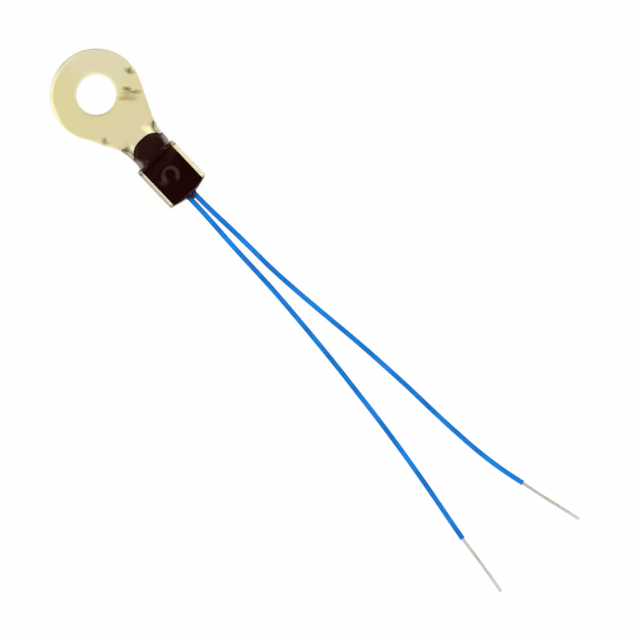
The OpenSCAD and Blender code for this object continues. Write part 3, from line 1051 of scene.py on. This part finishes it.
# %% Painted highlight over the neck's edges
flank_highlight_colour = (0.32, 0.25, 0.24, 1)
neck_middle = 0.13 * mm
flank_highlight_out = (1.3 * mm, 1.65 * mm)
flank_highlight_starts = (6.5 * mm, 7.2 * mm)
flank_highlight_stops = (7.7 * mm, 7.95 * mm)
fringe_highlight_out = (1.62 * mm, 1.8 * mm)
fringe_highlight_starts = (5.7 * mm, 6.3 * mm)
fringe_highlight_strength = 0.6

outward = dark.size(dark.axis(frayed_place, "Y") - neck_middle)
lengthways = dark.axis(frayed_place, "X")
# painted highlight on the resin's flank, and a weaker one along the very edge
flank_highlight = dark.between(outward, *flank_highlight_out) * dark.between(lengthways, *flank_highlight_starts)
fringe_highlight = dark.between(outward, *fringe_highlight_out) * dark.between(lengthways, *fringe_highlight_starts) * fringe_highlight_strength
flank_highlight = flank_highlight + fringe_highlight * (1 - flank_highlight)
flank_highlight = flank_highlight * dark.between(lengthways, *flank_highlight_stops, 1.0, 0.0)
body = dark.blend(flank_highlight, body, flank_highlight_colour)
dark.feed(Base_Color=body)
dark.coat(potting)

# %% [markdown]
# The jackets are a saturated blue plastic, a little uneven along their length. Resin crept along them behind
# the barrel in a film that thins out, so the blue starts dark there. A second, see-through skin could show
# it, but at this size a blend of two colours along the lead looks the same.

# %% Blue jacket
deep_blue = (0.0, 0.170, 0.62, 1)
light_blue = (0.0, 0.25, 0.80, 1)
wet_blue = (0.006, 0.010, 0.025, 1)
dries_between = (12.5 * mm, 13.45 * mm)

blue = Finish("blue jacket", Roughness=0.42, Specular_IOR_Level=0.1)
blue_place = blue.place()
bands = blue.grain(blue.stretched(blue_place, (450.0, 900.0, 900.0)), 1.0, detail=3.0)
blue_tone = blue.blend(blue.between(bands, 0.35, 0.65), deep_blue, light_blue)
dried = blue.between(blue.axis(blue_place, "X") + (bands - 0.5) * 0.2 * mm, *dries_between)
blue_tone = blue.blend(dried, wet_blue, blue_tone)
blue.feed(Base_Color=blue_tone)
blue.coat(*jackets.values())

# %% [markdown]
# The conductors are plated solid wire: grey, a little tarnished, brighter at the cut tips, and yellowish or
# reddish in a few spots where they were handled. The spots are made as the smudges on the lug are, with each
# its own colour.

# %% Plated wire
clean_wire = (0.57, 0.57, 0.565, 1)
dull_wire = (0.55, 0.54, 0.475, 1)
tip_wire = (0.66, 0.65, 0.65, 1)
tip_between = (56 * mm, 58 * mm)
handled = [((52.7, 3.88, 0.23), (0.22, 0.2, 1), (0.66, 0.50, 0.42, 1)),
    ((55.0, 4.45, 0.19), (0.6, 0.4, 1), (0.52, 0.51, 0.34, 1)),
    ((54.4, -3.88, 0.19), (0.7, 0.4, 1), (0.52, 0.51, 0.38, 1))]

silver = Finish("plated wire", Metallic=1.0)
silver_place = silver.place()
tarnish = silver.grain(silver_place, 900.0, detail=3.0)
wire_tone = silver.blend(silver.between(tarnish, 0.35, 0.7), clean_wire, dull_wire)
tip_share = silver.between(silver.axis(silver_place, "X"), *tip_between)
wire_tone = silver.blend(tip_share, wire_tone, tip_wire)
for at, half_size, colour in handled:
    mark = silver.stain_and_painted_light(silver_place, Vector(at) * mm, Vector(half_size) * mm, 0.0, 0.3, 1.4, 0.9)
    wire_tone = silver.blend(mark, wire_tone, colour)
silver.feed(Base_Color=wire_tone, Roughness=0.3 + tarnish * 0.2)
silver.coat(*conductors.values())

# %% [markdown]
# The pieces inside the resin keep their frame meshes, because their shape is right. They still get the
# finish that they would have on the bench: a red-brown bead of resin, a grey ceramic chip, its two faces of
# fired silver paste, and bright solder.

# %% Inner pieces
bead_brown = ((0.05, 0.012, 0.008, 1), (0.09, 0.02, 0.012, 1))
chip_grey = ((0.05, 0.05, 0.05, 1), (0.12, 0.12, 0.12, 1))
fired_silver = (0.85, 0.84, 0.81, 1)
bright_solder = (0.70, 0.70, 0.70, 1)

bead = Finish("bead resin", Roughness=0.3)
bead.feed(Base_Color=bead.blend(bead.grain(bead.place(), 1500.0), *bead_brown))
bead.coat(inner["bead_coating"])
ceramic = Finish("chip ceramic", Roughness=0.7)
ceramic.feed(Base_Color=ceramic.blend(ceramic.grain(ceramic.place(), 9000.0), *chip_grey))
ceramic.coat(inner["ntc_chip"])
paste = Finish("fired silver", Metallic=1.0)
paste.feed(Base_Color=fired_silver, Roughness=0.3 + paste.grain(paste.place(), 12000.0) * 0.2)
paste.coat(inner["electrode_left"], inner["electrode_right"])
tin = Finish("solder", Metallic=1.0)
tin.feed(Base_Color=bright_solder, Roughness=0.25 + tin.grain(tin.place(), 6000.0) * 0.25)
tin.coat(inner["solder_joint_left"], inner["solder_joint_right"])

# %% [markdown]
# The probe lies on a white table. More light could make the table white, but it would wash out the probe. So
# the table's material is mostly a plain white glow for what the camera and the reflections see, and a share
# of real white paint, so that the soft contact shadow stays.

# %% White table
floor_half = 3.0
floor_gap = 0.02 * mm
glow_share = 0.94
pure_white = (1, 1, 1, 1)

table_mesh = bmesh.new()
bmesh.ops.create_grid(table_mesh, x_segments=1, y_segments=1, size=floor_half,
    matrix=Matrix.Translation((0, 0, -floor_gap)))
table = finished_mesh("table", table_mesh)
white = Finish("white table", Roughness=0.9, Base_Color=pure_white)
seen = (white.node("ShaderNodeLightPath", {}, {}, "Is Camera Ray")
    + white.node("ShaderNodeLightPath", {}, {}, "Is Glossy Ray")
    + white.node("ShaderNodeLightPath", {}, {}, "Is Transmission Ray"))
plain_glow = white.node("ShaderNodeEmission", {}, {"Color": pure_white, "Strength": 1.0})
paint = Wire(white, white.shader.outputs[0])
mixed = white.node("ShaderNodeMixShader", {}, {0: seen * glow_share, 1: paint, 2: plain_glow})
white.set(white.tree.nodes["Material Output"].inputs["Surface"], mixed)
white.coat(table)

# %% [markdown]
# The light is that of a small white tent with a ring lamp round the lens. Lamps could stand for it, but a
# glossy piece mirrors all that is round it, so the whole tent is drawn in the world's nodes. Straight
# overhead the lens itself is dark, so level glossy resin looks black. The ring gives the plated sheet its
# even brightness, which fades where the sheet turns away. The ring is open towards one side, so the mark that
# it leaves in the resin's dimple is open too. Below the ring the tent's walls are bright, except low down and
# straight ahead of the lug, which keeps the resin's nose dark.

# %% Ring lamp round the lens
ring_glow = 1.66
lens_edge = math.cos(math.radians(11))
rows_edge = math.cos(math.radians(26))
ring_edge = math.cos(math.radians(40))
lens_soft = 0.004
rows_soft = 0.02
ring_soft = 0.04
gap_turn = math.radians(155)
inner_gap = (0.72, 0.86)
outer_gap = (0.74, 0.90)
gap_glow = 0.02

world = bpy.data.worlds.new("light tent")
bpy.context.scene.world = world
world.use_nodes = True
tent = Patterns(world.node_tree)
toward = tent.node("ShaderNodeTexCoord", {}, {}, "Generated")
rise = tent.axis(toward, "Z")
sideways = tent.node("ShaderNodeMath", {"operation": "SQRT"}, {0: 1.001 - rise * rise})
gap_side = tent.axis(toward, "X") * math.cos(gap_turn) + tent.axis(toward, "Y") * math.sin(gap_turn)
gap_share = gap_side / sideways
within_inner = tent.between(rise, rows_edge - rows_soft, rows_edge + rows_soft)
within_ring = tent.between(rise, ring_edge - ring_soft, ring_edge + ring_soft)
inner_row = within_inner * tent.between(gap_share, *inner_gap, 1.0, gap_glow)
outer_row = within_ring * (1 - within_inner) * tent.between(gap_share, *outer_gap, 1.0, gap_glow)
lens = tent.between(rise, lens_edge - lens_soft, lens_edge + lens_soft)
print("ring lamp, nodes:", len(world.node_tree.nodes))

# %% [markdown]
# How far a direction points straight ahead of the lug, towards minus X, says how much the wall is shaded
# there. Low walls are shaded over a wide sweep, high ones only close to straight ahead, and high up there the
# tent's own dim glow drops as well. At the horizon and below, the tent is nearly as bright as the table.

# %% Walls of the tent
tent_glow = 0.17
side_glow = 0.4
horizon_glow = 0.85
high_walls = (0.3, 0.45)
low_ahead = (-0.35, 0.25)
high_ahead = (-0.9, -0.65)
dim_ahead = (-0.95, -0.6)
dimmed_by = 0.7
horizon = (0.02, 0.06)

forward_share = tent.axis(toward, "X") / sideways
high_up = tent.between(rise, *high_walls)
low_shade = tent.between(forward_share, *low_ahead, 1.0, 0.0)
high_shade = tent.between(forward_share, *high_ahead, 1.0, 0.0)
dimmed = tent.between(forward_share, *dim_ahead, dimmed_by, 0.0) * high_up
walls = (1 - low_shade + (low_shade - high_shade) * high_up) * (1 - within_ring) * side_glow
glow = ((1 - dimmed) * tent_glow + walls + (inner_row + outer_row) * ring_glow) * (1 - lens)
glow = glow + tent.between(rise, *horizon, horizon_glow, 0.0)
sky = tent.tree.nodes["Background"]
tent.set(sky.inputs["Strength"], glow)
tent.set(sky.inputs["Color"], pure_white)
print("light tent, nodes:", len(world.node_tree.nodes))

# %% [markdown]
# Two large panels add even light from both sides. Glossy surfaces don't show them, so they only fill the
# colours of the leads and the table. One panel overhead would stand where the camera does.

# %% Fill panels
panel_side = 0.4
panel_distance = 0.6
panel_tilt = math.radians(40)
panel_power = 0.4
for name, turn in [("panel_left", math.radians(100)), ("panel_right", math.radians(-80))]:
    panel = bpy.data.lights.new(name, "AREA")
    panel.size = panel_side
    panel.energy = panel_power
    holder = bpy.data.objects.new(name, panel)
    aim = Vector((math.cos(turn) * math.sin(panel_tilt), math.sin(turn) * math.sin(panel_tilt),
        math.cos(panel_tilt)))
    holder.location = Vector((stand_over.x, stand_over.y, 0)) + aim * panel_distance
    holder.rotation_euler = aim.to_track_quat("Z", "Y").to_euler()
    holder.visible_glossy = False
    bpy.context.collection.objects.link(holder)
print("fill panels:", panel_power, "W each")

# %% [markdown]
# The Standard view shows colours as they are written, where Blender's default view would soften them.

# %% Colours as written
bpy.context.scene.view_settings.view_transform = "Standard"
